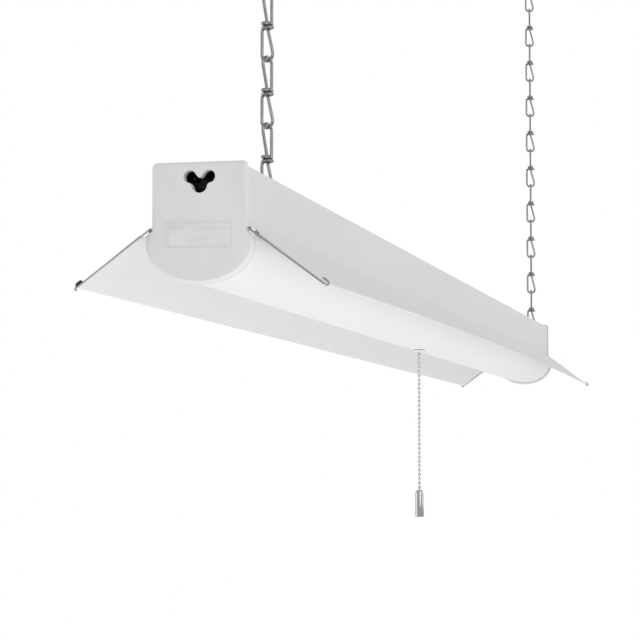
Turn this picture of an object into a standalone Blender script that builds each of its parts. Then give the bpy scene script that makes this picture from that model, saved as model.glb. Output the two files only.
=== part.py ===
"""Four-foot LED strip batten with folding reflector wings, hung on two double-loop chains.

X runs along the batten (the pull switch is at its middle, the power inlet at -X), Y across it with
the front at -Y, and Z up. The origin lies on the ceiling plane, midway between the ceiling hooks'
plates, above the batten's middle. All lengths are in metres.
"""
import math

import bmesh
import bpy
from mathutils import Matrix, Vector

# Driving dimensions
LENGTH = 1.2192               # over the end caps, four feet
TOP_Z = -0.3900               # housing's top face below the ceiling
GAP = 0.0003                  # clearance kept between touching pieces

# Housing: a folded channel, open below
HOUSING_HALF = 0.0236
HOUSING_DEPTH = 0.0310
HOUSING_SHEET = 0.0008
FLANGE = 0.0046               # inward lip along each lower edge

# End caps: a box top with a rounded belly that covers the lens
CAP_HALF = 0.0247
CAP_TOP = 0.0019
CAP_FACE = 0.0020             # thickness of the end face
CAP_EDGE = 0.0016             # bevel round the end face
CAP_TONGUE = 0.0084           # reach of the screwed tongue over the housing's top
CAP_TONGUE_HALF = 0.0200
CAP_SKIRT = 0.0060            # reach of the belly over the lens
CAP_CORNER = 0.0030
COLLAR_DEPTH = 0.0053         # wall round the power opening, behind the face
COLLAR_WALL = 0.0012
BELLY_Z = -0.0390             # height of the belly's widest line
BELLY_HALF = 0.0278
BELLY_RISE = 0.0170
BELLY_DROP = 0.0200
SCREW_Y = 0.0165              # cap screw, towards the back

# Lens: the frosted trough
LENS_HALF = 0.0260
LENS_RISE = 0.0140
LENS_DROP = 0.0183
LENS_WALL = 0.0015
LENS_LIP_Y = 0.0200
LENS_TOP_Z = -0.0314

# Power connector: three round lobes, two above and one below
LOBE_RADIUS = 0.0032
LOBE_SPREAD = 0.0049
LOBE_HIGH_Z = -0.0056
LOBE_LOW_RADIUS = 0.0039
LOBE_LOW_Z = -0.0099
BRIDGE_RADIUS = 0.0026
BLOCK_END = 0.0163            # back of the connector blocks, behind the cap's face
RECESS_DEPTH = 0.0100
PIN_RADIUS = 0.0011
PIN_SETBACK = 0.0080          # pin tips behind the cap's face

# Reflector wings and the wires that brace them
HINGE_Y = 0.0255
HINGE_Z = -0.0320
WING_TIP_Y = 0.0626
WING_TIP_Z = -0.0607
WING_SHEET = 0.0006
CURL_INNER = 0.00088          # rolled hinge edge, around the wire
CURL_END = 0.0088             # rolled edge's end from the cap's face
BLADE_END = 0.0005            # blade's end from the cap's face
BLADE_NOTCH = 0.0058          # blade's inner corner, cut back clear of the cap
FRONT_BOW = 0.0040            # rise of the front wing's free edge at mid-length
WIRE_RADIUS = 0.00058
WIRE_OUT = 0.0009             # brace's arm in front of the cap's face
WIRE_LEG = 0.0041             # its run along the wing's free edge
HOOK_REACH = 0.0014           # hook beyond the free edge
HOOK_LOW = 0.0010             # heights of the hook's two runs above the hinge plane
HOOK_HIGH = 0.0032
LUG_RADIUS = 0.0014

# Hanging chains: links of two upright loops at right angles, tied by a knot
ANCHOR_X = 0.5375
ANCHOR_Y = -0.0165
ANCHOR_DROP = 0.00525         # lowest loop's bearing point below the housing's top
LINK_PITCH = 0.0355
LINKS = 10
CHAIN_WIRE = 0.0009           # radius
LOOP_HALF = 0.0036
LOOP_NECK = 0.0014
KNOT = (0.0080, 0.0050, 0.0028)
CHAIN_TURN = {"left": math.radians(-25), "right": math.radians(8)}
SLOT = (0.0110, 0.0114)       # hole in the housing for the lowest loop
HOOK_WIRE = 0.0018
HOOK_RADIUS = 0.0080
HOOK_PLATE = 0.0140
HOOK_PLATE_T = 0.0020

# Pull chain
BEAD_RADIUS = 0.0012
BEAD_PITCH = 0.0032
PULL_BORE = 0.0019
PULL_NECK_Z = -0.0611
PENDANT_TOP_Z = -0.1637
PENDANT_LENGTH = 0.0204
PENDANT_RADIUS = 0.00325

HALF = LENGTH / 2
SCREW_X = HALF - CAP_FACE - 0.0034
WING_ANGLE = math.atan2(HINGE_Z - WING_TIP_Z, WING_TIP_Y - HINGE_Y)
WING_WIDTH = math.hypot(WING_TIP_Y - HINGE_Y, HINGE_Z - WING_TIP_Z)
CURL_OUTER = CURL_INNER + WING_SHEET
LOOP_END = (LINK_PITCH + 2 * CHAIN_WIRE + GAP) / 2
ENDS = {"left": -1, "right": 1}
SIDES = {"front": -1, "back": 1}


# Helpers

def clear_scene():
    for thing in list(bpy.data.objects):
        bpy.data.objects.remove(thing, do_unlink=True)


def material(name, colour, roughness, metallic=0.0):
    made = bpy.data.materials.new(name)
    made.use_nodes = True
    shader = made.node_tree.nodes["Principled BSDF"]
    shader.inputs["Base Color"].default_value = (*colour, 1.0)
    shader.inputs["Roughness"].default_value = roughness
    shader.inputs["Metallic"].default_value = metallic
    return made


def empty(name, location=(0, 0, 0), turn=0.0, parent=None):
    thing = bpy.data.objects.new(name, None)
    thing.location = location
    thing.rotation_euler = (0, 0, turn)
    thing.parent = parent
    bpy.context.collection.objects.link(thing)
    return thing


def loft(rings, closed=False):
    """A closed mesh through rings of equally many points, capped at its two ends unless closed."""
    bm = bmesh.new()
    rows = [[bm.verts.new(point) for point in ring] for ring in rings]
    count = len(rows[0])
    last = len(rows) if closed else len(rows) - 1
    for i in range(last):
        low, high = rows[i], rows[(i + 1) % len(rows)]
        for j in range(count):
            k = (j + 1) % count
            bm.faces.new((low[j], low[k], high[k], high[j]))
    if not closed:
        bm.faces.new(rows[0])
        bm.faces.new(rows[-1])
    bmesh.ops.recalc_face_normals(bm, faces=bm.faces)
    mesh = bpy.data.meshes.new("shape")
    bm.to_mesh(mesh)
    bm.free()
    return mesh


def box(low, high):
    corners = [(low[1], low[2]), (high[1], low[2]), (high[1], high[2]), (low[1], high[2])]
    return prism(corners, low[0], high[0])


def prism(outline, x0, x1):
    """The outline, as (y, z) points, drawn out along X."""
    return loft([[(x, y, z) for y, z in outline] for x in (x0, x1)])


def circle(centre, u, v, radius, sides):
    steps = [2 * math.pi * k / sides for k in range(sides)]
    return [centre + radius * (math.cos(a) * u + math.sin(a) * v) for a in steps]


def turned(profile, sides=16, centre=(0, 0)):
    """A solid of revolution about a vertical axis, from (radius, z) points."""
    u, v = Vector((1, 0, 0)), Vector((0, 1, 0))
    rings = [circle(Vector((centre[0], centre[1], z)), u, v, r, sides) for r, z in profile]
    return loft(rings)


def ring_turned(profile, sides=16, centre=(0, 0)):
    """A ring of revolution: the (radius, z) profile is a closed loop that stays off the axis."""
    rings = []
    for k in range(sides):
        a = 2 * math.pi * k / sides
        rings.append([(centre[0] + r * math.cos(a), centre[1] + r * math.sin(a), z) for r, z in profile])
    return loft(rings, closed=True)


def tube(points, radius, sides=8, closed=False):
    """A round tube along the points, its rings carried along without twist."""
    points = [Vector(p) for p in points]
    count = len(points)
    tangents = []
    for i, point in enumerate(points):
        before = points[i - 1] if closed or i else point
        after = points[(i + 1) % count] if closed or i < count - 1 else point
        tangents.append((after - before).normalized())
    across = tangents[0].orthogonal().normalized()
    rings = []
    for i, point in enumerate(points):
        if i:
            across = tangents[i - 1].rotation_difference(tangents[i]) @ across
        rings.append(circle(point, across, tangents[i].cross(across), radius, sides))
    return loft(rings, closed=closed)


def rounded(points, radius, steps=3):
    """The polyline with each inner corner replaced by a short curve."""
    points = [Vector(p) for p in points]
    path = [points[0]]
    for before, corner, after in zip(points, points[1:], points[2:]):
        start = corner + (before - corner).normalized() * radius
        end = corner + (after - corner).normalized() * radius
        for k in range(steps + 1):
            t = k / steps
            path.append((1 - t) ** 2 * start + 2 * t * (1 - t) * corner + t * t * end)
    path.append(points[-1])
    return path


def arc(centre, half, rise, start, end, steps):
    """Points on an ellipse in (y, z), from the start angle to the end angle in degrees."""
    angles = [math.radians(start + (end - start) * k / steps) for k in range(steps + 1)]
    return [(centre[0] + half * math.cos(a), centre[1] + rise * math.sin(a)) for a in angles]


def add(name, mesh, finish, parent=None, location=(0, 0, 0), smooth=False):
    """A sub-part: one named object with its own material."""
    thing = bpy.data.objects.new(name, mesh)
    thing.location = location
    thing.parent = parent
    if not mesh.materials:
        mesh.materials.append(finish)
    if smooth:
        mesh.shade_smooth()
        mesh.set_sharp_from_angle(angle=math.radians(35))
    bpy.context.collection.objects.link(thing)
    return thing


def combine(thing, mesh, operation="DIFFERENCE"):
    """Cut the mesh out of a sub-part, or join it on, with an exact Boolean."""
    tool = bpy.data.objects.new(thing.name + "_tool", mesh)
    tool.parent = thing.parent
    tool.location = thing.location
    tool.hide_render = True
    tool.display_type = "WIRE"
    bpy.context.collection.objects.link(tool)
    step = thing.modifiers.new(operation.title(), "BOOLEAN")
    step.operation = operation
    step.solver = "EXACT"
    step.object = tool


def along_x(path_yz_radius, x0, x1, sides=12):
    """A round rod or cutter along X, from (y, z, radius)."""
    y, z, radius = path_yz_radius
    u, v = Vector((0, 1, 0)), Vector((0, 0, 1))
    return loft([circle(Vector((x, y, z)), u, v, radius, sides) for x in (x0, x1)])


# Housing and what is fixed in it

def housing(parent, finish):
    """Folded sheet channel with a slot over each hanger and a hole for each cap screw."""
    half, depth, sheet = HOUSING_HALF, HOUSING_DEPTH, HOUSING_SHEET
    right = [(half, 0), (half, -depth), (half - FLANGE, -depth), (half - FLANGE, sheet - depth),
             (half - sheet, sheet - depth), (half - sheet, -sheet)]
    outline = right + [(-y, z) for y, z in reversed(right)]
    end = HALF - CAP_FACE - GAP
    thing = add("housing_channel", prism(outline, -end, end), finish, parent)
    for side in ENDS.values():
        x = side * ANCHOR_X
        low = (x - SLOT[0] / 2, ANCHOR_Y - SLOT[1] / 2, -2 * sheet)
        high = (x + SLOT[0] / 2, ANCHOR_Y + SLOT[1] / 2, sheet)
        combine(thing, box(low, high))
        hole = turned([(0.0019, sheet), (0.0019, -2 * sheet)], 12, (side * SCREW_X, SCREW_Y))
        combine(thing, hole)


def hanger(name, side, parent, finish):
    """Steel bar on edge under the housing's slot, with a welded foot at each end."""
    top = -HOUSING_SHEET - GAP
    bottom = -ANCHOR_DROP + GAP / 2
    x, half_bar, foot = side * ANCHOR_X, 0.0135, 0.0060
    steps = [(-half_bar, top), (-half_bar, top - 0.0015), (foot - half_bar, top - 0.0015),
             (foot - half_bar, bottom), (half_bar - foot, bottom), (half_bar - foot, top - 0.0015),
             (half_bar, top - 0.0015), (half_bar, top)]
    dip = 0.0012
    steps += [(half_bar - foot - 0.0005, top), (half_bar - foot - 0.0005, top - dip),
              (foot - half_bar + 0.0005, top - dip), (foot - half_bar + 0.0005, top)]
    thick = 0.0014
    rings = [[(x + dx, ANCHOR_Y + dy, z) for dx, z in steps] for dy in (-thick / 2, thick / 2)]
    add(name, loft(rings), finish, parent)


def tray(parent, finish):
    """Gear tray that closes the channel, bored for the pull switch's neck."""
    low_z = -HOUSING_DEPTH + HOUSING_SHEET + GAP
    mesh = box((-0.5950, -0.0224, low_z), (0.5950, 0.0224, low_z + HOUSING_SHEET))
    thing = add("gear_tray", mesh, finish, parent)
    combine(thing, turned([(0.0050, low_z + 0.0020), (0.0050, low_z - 0.0010)], 16))


def led_board(name, side, parent, finish):
    """Strip board with a row of LED packages on its underside, as one stepped bar."""
    top = -HOUSING_DEPTH + HOUSING_SHEET - GAP / 2
    board, chip, count = 0.0010, 0.0008, 18
    start, end, half = 0.0110, 0.5900, 0.0090
    thing = add(name, box((0, -half, top - board), (end - start, half, top)), finish, parent)
    thing.location.x = start if side > 0 else -end
    pitch = (end - start) / count
    chips = bmesh.new()
    for row in range(count):
        x = pitch * (row + 0.5)
        low = (x - 0.0015, -0.0015, top - board - chip)
        chips.from_mesh(box(low, (x + 0.0015, 0.0015, top - board / 2)))
    mesh = bpy.data.meshes.new("chips")
    chips.to_mesh(mesh)
    chips.free()
    combine(thing, mesh, "UNION")


def lens(parent, finish):
    """Frosted trough that hangs from two lips under the housing's flanges."""
    top_angle = math.degrees(math.asin((LENS_TOP_Z - BELLY_Z) / LENS_RISE))
    centre = (0, BELLY_Z)
    upper = arc(centre, LENS_HALF, LENS_RISE, top_angle, 0, 3)
    lower = arc(centre, LENS_HALF, LENS_DROP, 0, -90, 8)
    outer = upper + lower[1:]
    wall = LENS_WALL
    inner_angle = math.degrees(math.asin((LENS_TOP_Z - wall - BELLY_Z) / (LENS_RISE - wall)))
    inner_up = arc(centre, LENS_HALF - wall, LENS_RISE - wall, inner_angle, 0, 3)
    inner_low = arc(centre, LENS_HALF - wall, LENS_DROP - wall, 0, -90, 8)
    inner = [(LENS_LIP_Y, LENS_TOP_Z), (LENS_LIP_Y, LENS_TOP_Z - wall)] + inner_up + inner_low[1:]
    half = list(reversed(inner[1:])) + [inner[0]] + outer
    outline = half + [(-y, z) for y, z in reversed(half[1:-1])]
    end = HALF - CAP_FACE - GAP
    low = BELLY_Z - LENS_DROP
    thing = add("lens_diffuser", prism(outline, -end, end), finish, parent, smooth=True)
    combine(thing, turned([(0.0035, low + 0.0040), (0.0035, low - 0.0020)], 16))


def grommet(parent, finish):
    """Bush in the lens that guides the pull chain."""
    low = BELLY_Z - LENS_DROP
    profile = [(0.0032, low + 0.0024), (PULL_BORE, low + 0.0024), (PULL_BORE, low - 0.0019),
               (0.0041, low - 0.0019), (0.0048, low - 0.0012), (0.0048, low - GAP), (0.0032, low - GAP)]
    add("lens_grommet", ring_turned(profile, 20), finish, parent, smooth=True)


# End caps and connectors

def half_outline(half, top, corner, belly):
    """Half of a cap's outline, from its top middle round to its bottom middle."""
    wide, rise, drop = belly
    meet = math.degrees(math.acos(half / wide))
    points = [(0, top)] + arc((half - corner, top - corner), corner, corner, 90, 0, 3)
    points += arc((0, BELLY_Z), wide, rise, meet, 0, 4)
    points += arc((0, BELLY_Z), wide, drop, 0, -90, 9)[1:]
    return points


def cap_outline(inset):
    """The cap's outside, set in by inset."""
    belly = (BELLY_HALF - inset, BELLY_RISE - inset, BELLY_DROP - inset)
    corner = max(CAP_CORNER - inset, 0.0004)
    return half_outline(CAP_HALF - inset, CAP_TOP - inset, corner, belly)


def cavity_outline():
    """The skirt's inside: clear of the housing above and of the lens below."""
    belly = (LENS_HALF + GAP, LENS_RISE + GAP, LENS_DROP + GAP)
    return half_outline(HOUSING_HALF + GAP, GAP, GAP, belly)


def full(outline):
    return outline + [(-y, z) for y, z in reversed(outline[1:-1])]


def cap_mesh(side):
    """Bevelled face, the walls behind it and the open inside."""
    layers = [(0, cap_outline(CAP_EDGE)), (0.35 * CAP_EDGE, cap_outline(0.45 * CAP_EDGE)),
              (CAP_EDGE, cap_outline(0)), (CAP_TONGUE, cap_outline(0)),
              (CAP_TONGUE, cavity_outline()), (CAP_FACE, cavity_outline())]
    rings = [[(side * (HALF - x), y, z) for y, z in full(outline)] for x, outline in layers]
    return loft(rings)


def lobes_outline(grow=0.0):
    """Outline of the three-lobed opening, found by the farthest exit of a ray from its middle."""
    spread, high, low = LOBE_SPREAD, LOBE_HIGH_Z, LOBE_LOW_Z
    discs = [(spread, high, LOBE_RADIUS), (-spread, high, LOBE_RADIUS), (0, low, LOBE_LOW_RADIUS)]
    for side in (-1, 1):
        discs.append((side * spread / 2, (high + low) / 2, BRIDGE_RADIUS))
    middle, count, points = (0, high * 0.65 + low * 0.35), 36, []
    for k in range(count):
        angle = 2 * math.pi * (k + 0.5) / count
        dy, dz = math.cos(angle), math.sin(angle)
        far = 0.0
        for y, z, radius in discs:
            ahead = (y - middle[0]) * dy + (z - middle[1]) * dz
            off = (y - middle[0]) ** 2 + (z - middle[1]) ** 2 - ahead ** 2
            if off < radius ** 2:
                far = max(far, ahead + math.sqrt(radius ** 2 - off))
        points.append((middle[0] + (far + grow) * dy, middle[1] + (far + grow) * dz))
    return points


def slab(side, depths, low, high):
    """A box between two depths behind a cap's face and two (y, z) corners."""
    ends = sorted(side * (HALF - depth) for depth in depths)
    return box((ends[0], *low), (ends[1], *high))


def end_cap(name, side, parent, finish):
    """Cap with a tongue over the housing, a belly over the lens and a lug for each brace."""
    thing = add(name, cap_mesh(side), finish, parent, smooth=True)
    face = side * HALF
    inward = -side
    seam, far = -0.0300, CAP_TONGUE + 0.001
    combine(thing, slab(side, (CAP_FACE + 0.0002, far), (CAP_TONGUE_HALF, seam), (0.03, 0.003)))
    combine(thing, slab(side, (CAP_FACE + 0.0002, far), (-0.03, seam), (-CAP_TONGUE_HALF, 0.003)))
    combine(thing, slab(side, (CAP_SKIRT, far), (-0.03, -0.065), (0.03, seam)))
    for across in SIDES.values():
        axis = (across * HINGE_Y, HINGE_Z)
        start, end = face + inward * 0.0010, face + inward * (CURL_END - 0.0008)
        combine(thing, along_x((*axis, LUG_RADIUS), start, end, 12), "UNION")
        combine(thing, along_x((*axis, CURL_INNER), face - inward * 0.001, end + inward * 0.001, 12))
    collar = prism(lobes_outline(COLLAR_WALL), face + inward * 0.0010, face + inward * COLLAR_DEPTH)
    combine(thing, collar, "UNION")
    combine(thing, prism(lobes_outline(), face - inward * 0.001, face + inward * 0.007))
    panel = box((0, -0.0176, -0.0420), (0.0012, 0.0176, -0.0287))
    panel.transform(Matrix.Translation((face - (0.0008 if side > 0 else 0.0004), 0, 0)))
    combine(thing, panel, "UNION")
    sink = [(0.0031, CAP_TOP + 0.0004), (0.0017, CAP_TOP - 0.0011), (0.0017, -0.0005)]
    combine(thing, turned(sink, 16, (side * SCREW_X, SCREW_Y)))


def cap_screw(name, side, parent, finish):
    """Countersunk screw through the cap's skirt into the housing."""
    profile = [(0.0024, CAP_TOP - 0.0001), (0.0013, CAP_TOP - 0.0012), (0.0013, -0.0060),
               (0.0006, -0.0070)]
    mesh = turned(profile, 12, (side * SCREW_X, SCREW_Y))
    thing = add(name, mesh, finish, parent, smooth=True)
    x, slot = side * SCREW_X, 0.0003
    for half_x, half_y in ((0.0014, slot), (slot, 0.0014)):
        low = (x - half_x, SCREW_Y - half_y, CAP_TOP - 0.0008)
        combine(thing, box(low, (x + half_x, SCREW_Y + half_y, CAP_TOP + 0.0010)))


def connector(name, side, parent, finish, depth):
    """Block behind the cap's opening, recessed to the same three lobes."""
    inward = -side
    face = side * HALF
    start = face + inward * (COLLAR_DEPTH + GAP)
    mesh = slab(side, (COLLAR_DEPTH + GAP, BLOCK_END), (-0.0112, -0.0170), (0.0112, -0.0012))
    thing = add(name, mesh, finish, parent)
    cutter = prism(lobes_outline(0.0001), start - inward * 0.001, start + inward * depth)
    combine(thing, cutter)


def contact_pin(name, y, z, parent, finish):
    """Round contact with a domed tip, standing in the inlet's recess."""
    tip = -HALF + PIN_SETBACK
    root = -HALF + COLLAR_DEPTH + RECESS_DEPTH
    u, v = Vector((0, 1, 0)), Vector((0, 0, 1))
    profile = [(tip, 0.45), (tip + 0.0004, 0.85), (tip + 0.0010, 1.0), (root, 1.0)]
    rings = [circle(Vector((x, y, z)), u, v, share * PIN_RADIUS, 10) for x, share in profile]
    add(name, loft(rings), finish, parent, smooth=True)


# Reflector wings

def wing_point(side, s, t):
    """(y, z) of a point s outward along the wing and t above its plane, from the hinge line."""
    y = HINGE_Y + s * math.cos(WING_ANGLE) + t * math.sin(WING_ANGLE)
    z = HINGE_Z - s * math.sin(WING_ANGLE) + t * math.cos(WING_ANGLE)
    return side * y, z


def wing_section():
    """(s, t) outline: the rolled hinge edge below and the flat blade that leaves it at the top."""
    inner = [(CURL_INNER * math.cos(a), CURL_INNER * math.sin(a)) for a in curl_angles()]
    outer = [(CURL_OUTER * math.cos(a), CURL_OUTER * math.sin(a)) for a in curl_angles()]
    edge = WING_WIDTH
    blade = [(edge * 0.5, CURL_INNER), (edge, CURL_INNER), (edge, CURL_OUTER), (edge * 0.5, CURL_OUTER)]
    return inner + blade + list(reversed(outer))


def curl_angles():
    """From the curl's open end below, round the housing's side, to the blade at the top."""
    start, end, steps = math.radians(320), math.radians(90), 8
    return [start + (end - start) * k / steps for k in range(steps + 1)]


def wing(name, side, bow, parent, finish):
    """Reflector blade; bow lifts its free edge towards mid-length."""
    end, stations = HALF - BLADE_END, 13 if bow else 2
    rings = []
    for i in range(stations):
        x = -end + 2 * end * i / (stations - 1)
        lift = bow * (1 - (x / end) ** 2)
        ring = []
        for s, t in wing_section():
            raised = t + lift * max(0.0, s / WING_WIDTH) ** 2
            ring.append((x, *wing_point(side, s, raised)))
        rings.append(ring)
    hinge = Vector((0, side * HINGE_Y, HINGE_Z))
    mesh = loft(rings)
    mesh.transform(Matrix.Translation(-hinge))
    thing = add(name, mesh, finish, parent, location=hinge)
    corners = [(-0.0040, -0.0040), (BLADE_NOTCH, -0.0040), (BLADE_NOTCH, 0.0040), (-0.0040, 0.0040)]
    outline = [wing_point(side, s, t) for s, t in corners]
    for end_side in ENDS.values():
        ends = sorted(end_side * (HALF - depth) for depth in (CURL_END, -0.0010))
        notch = prism(outline, *ends)
        notch.transform(Matrix.Translation(-hinge))
        combine(thing, notch)


def brace_path(end_side, side):
    """Pin in the wing's rolled edge, arm along its end, and a hook over its free edge."""
    arm, inner, reach = -WIRE_OUT, WIRE_LEG - WIRE_OUT, WING_WIDTH + HOOK_REACH
    steps = [(0.0340, 0, 0), (arm, 0, 0), (arm, reach, HOOK_LOW), (inner, reach, HOOK_LOW),
             (inner, reach, HOOK_HIGH), (inner, WING_WIDTH - 0.0024, HOOK_HIGH)]
    path = []
    for x, s, t in steps:
        path.append((end_side * (HALF - x), *wing_point(side, s, t)))
    return path


def brace(name, end_side, side, parent, finish):
    hinge = Vector((0, side * HINGE_Y, HINGE_Z))
    mesh = tube(rounded(brace_path(end_side, side), 0.0012, 2), WIRE_RADIUS, 8)
    mesh.transform(Matrix.Translation(-hinge))
    add(name, mesh, finish, parent, location=hinge, smooth=True)


def brace_sleeve(name, end_side, side, parent, finish):
    """Rubber tip over the end of the brace's hook."""
    x = end_side * (HALF - WIRE_LEG + WIRE_OUT)
    across = Vector((1, 0, 0))
    y, z = wing_point(side, 0, 1)
    up = Vector((0, y - side * HINGE_Y, z - HINGE_Z))
    mouth, stop, tip = 0.0003, -0.0027, -0.0036
    bore, outside = WIRE_RADIUS + GAP, 0.00125
    profile = [(stop, bore), (mouth, bore), (mouth, outside), (tip + 0.0006, outside),
               (tip + 0.0002, outside * 0.8), (tip, outside * 0.45)]
    rings = []
    for reach, radius in profile:
        centre = Vector((x, *wing_point(side, WING_WIDTH + reach, HOOK_HIGH)))
        rings.append(circle(centre, across, up, radius, 12))
    hinge = Vector((0, side * HINGE_Y, HINGE_Z))
    mesh = loft(rings)
    mesh.transform(Matrix.Translation(-hinge))
    add(name, mesh, finish, parent, location=hinge, smooth=True)


# Electrical parts inside the housing

def driver(parent, finish):
    """LED driver in a sheet case with a foot at each end, under the housing's top."""
    top = -HOUSING_SHEET - GAP
    thing = add("led_driver", box((0.100, -0.0160, top - 0.0220), (0.260, 0.0160, top)), finish, parent)
    combine(thing, box((0.092, -0.0080, top - 0.0012), (0.268, 0.0080, top - 0.0001)), "UNION")


def pull_switch(parent, finish):
    """Switch block with the threaded neck that comes down through the gear tray."""
    top = -HOUSING_SHEET - GAP
    thing = add("pull_switch", box((-0.013, -0.009, top - 0.0220), (0.013, 0.009, top)), finish, parent)
    neck = turned([(0.0046, top - 0.0210), (0.0046, -0.0372)], 16)
    combine(thing, neck, "UNION")
    combine(thing, turned([(PULL_BORE, top - 0.0040), (PULL_BORE, -0.0400)], 12))


def switch_nut(parent, finish):
    """Ring nut under the gear tray."""
    high = -HOUSING_DEPTH + HOUSING_SHEET - GAP
    profile = [(0.0049, high), (0.0049, high - 0.0026), (0.0078, high - 0.0026), (0.0078, high)]
    add("switch_nut", ring_turned(profile, 6 * 3), finish, parent)


def lead(name, points, parent, finish):
    """Internal wire along its whole route."""
    add(name, tube(rounded(points, 0.004, 2), 0.0009, 6), finish, parent, smooth=True)


def leads(parent, finish):
    inlet_x, switch_x, driver_x = -HALF + 0.0172, -0.0140, 0.0905
    lead("lead_line", [(inlet_x, 0.006, -0.009), (-0.57, 0.006, -0.009), (-0.50, 0.013, -0.020),
                       (-0.06, 0.012, -0.021), (-0.03, 0.004, -0.014), (switch_x, 0.004, -0.012)],
         parent, finish["line"])
    lead("lead_neutral", [(inlet_x, -0.003, -0.012), (-0.56, -0.003, -0.012), (-0.50, 0.009, -0.025),
                          (0.03, 0.0165, -0.025), (0.06, 0.010, -0.012), (driver_x, 0.006, -0.012)],
         parent, finish["neutral"])
    lead("lead_switched", [(0.0140, -0.003, -0.014), (0.035, -0.003, -0.014), (0.060, -0.006, -0.014),
                           (driver_x, -0.004, -0.014)], parent, finish["line"])


# Chains

def chain_link_mesh():
    """One link: an upper loop across X and a lower loop across Y, joined at a flat knot."""
    loops = []
    for up in (1, -1):
        bend = [math.radians(a) for a in (0, 45, 90, 135, 180)]
        straight = LOOP_END - LOOP_HALF
        path = [(LOOP_NECK, 0.0002), (LOOP_HALF, 0.0062)]
        path += [(LOOP_HALF * math.cos(a), straight + LOOP_HALF * math.sin(a)) for a in bend]
        path += [(-LOOP_HALF, 0.0062), (-LOOP_NECK, 0.0002)]
        points = [(u, 0, w) if up > 0 else (0, u, -w) for u, w in path]
        loops.append(tube(points, CHAIN_WIRE, 6, closed=True))
    x, y, z = (size / 2 for size in KNOT)
    outline = [(x * math.cos(a), y * math.sin(a)) for a in (math.pi * k / 4 for k in range(8))]
    knot = loft([[(u, v, level) for u, v in outline] for level in (-z, z)])
    body = add("link_template", loops[0], None)
    combine(body, loops[1], "UNION")
    combine(body, knot, "UNION")
    graph = bpy.context.evaluated_depsgraph_get()
    mesh = bpy.data.meshes.new_from_object(body.evaluated_get(graph))
    for step in list(body.modifiers):
        bpy.data.objects.remove(step.object, do_unlink=True)
    bpy.data.objects.remove(body, do_unlink=True)
    mesh.materials.clear()
    mesh.shade_smooth()
    mesh.set_sharp_from_angle(angle=math.radians(50))
    return mesh


def hanging_chain(end, side, mesh, finish):
    """Links from the housing's hanger up to the ceiling hook, numbered from the bottom."""
    foot = (side * ANCHOR_X, ANCHOR_Y, TOP_Z - ANCHOR_DROP)
    base = empty("chain_" + end, foot, CHAIN_TURN[end])
    for number in range(1, LINKS + 1):
        height = LINK_PITCH * (number - 0.5)
        add(f"chain_{end}_link_{number:02d}", mesh, finish, base, location=(0, 0, height))
    return base


def ceiling_hook(end, base, finish, plate_finish):
    """Screw hook through its ceiling plate; the top link hangs in the curl."""
    top_wire = LINK_PITCH * (LINKS - 0.5) + LOOP_END
    centre = top_wire - CHAIN_WIRE - HOOK_WIRE - GAP + HOOK_RADIUS
    ceiling = -(TOP_Z - ANCHOR_DROP)
    path = [(0, 0, ceiling - GAP), (0, 0, centre + 1.8 * HOOK_RADIUS)]
    path += [(0, y, z) for y, z in arc((0, centre), HOOK_RADIUS, HOOK_RADIUS, 60, -210, 10)]
    add(f"ceiling_hook_{end}", tube(path, HOOK_WIRE, 8), finish, base, smooth=True)
    profile = [(HOOK_WIRE + GAP, ceiling), (HOOK_PLATE, ceiling), (HOOK_PLATE, ceiling - 0.0008),
               (HOOK_PLATE - 0.0025, ceiling - HOOK_PLATE_T), (HOOK_WIRE + GAP, ceiling - HOOK_PLATE_T)]
    add(f"ceiling_plate_{end}", ring_turned(profile, 20), plate_finish, base)


# Pull chain

def beads(name, top, bottom, parent, finish, location):
    """Beads on a wire between two heights, as one turned bar."""
    count = max(1, round((top - bottom) / BEAD_PITCH))
    pitch = (top - bottom) / count
    profile = [(0.4 * BEAD_RADIUS, top)]
    for k in range(count):
        middle = top - (k + 0.5) * pitch
        profile += [(BEAD_RADIUS, middle), (0.4 * BEAD_RADIUS, middle - pitch / 2)]
    mesh = turned(profile, 6)
    mesh.transform(Matrix.Translation((0, 0, -location[2])))
    add(name, mesh, finish, parent, location=location, smooth=True)


def pull_chain(parent, finish):
    """Upper stretch to the switch, a neck bead in the grommet's mouth, lower stretch and pendant."""
    hinge = (0, 0, PULL_NECK_Z)
    upper_low = PULL_NECK_Z + BEAD_RADIUS + GAP
    lower_top = PULL_NECK_Z - BEAD_RADIUS - GAP
    beads("pull_chain_upper", -0.0120, upper_low, parent, finish["chain"], (0, 0, 0))
    beads("pull_chain_neck", PULL_NECK_Z + BEAD_RADIUS, PULL_NECK_Z - BEAD_RADIUS, parent,
          finish["chain"], hinge)
    beads("pull_chain_lower", lower_top, PENDANT_TOP_Z + GAP, parent, finish["chain"], hinge)
    r, top, low = PENDANT_RADIUS, PENDANT_TOP_Z, PENDANT_TOP_Z - PENDANT_LENGTH
    profile = [(0.0014, top), (r * 0.72, top - 0.0006), (r, top - 0.0026), (r, low + 0.0006),
               (r - 0.0006, low), (0.0022, low), (0.0018, low + 0.0030)]
    mesh = turned(profile, 20)
    mesh.transform(Matrix.Translation((0, 0, -hinge[2])))
    add("pull_pendant", mesh, finish["pendant"], parent, location=hinge, smooth=True)


# Assembly

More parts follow.
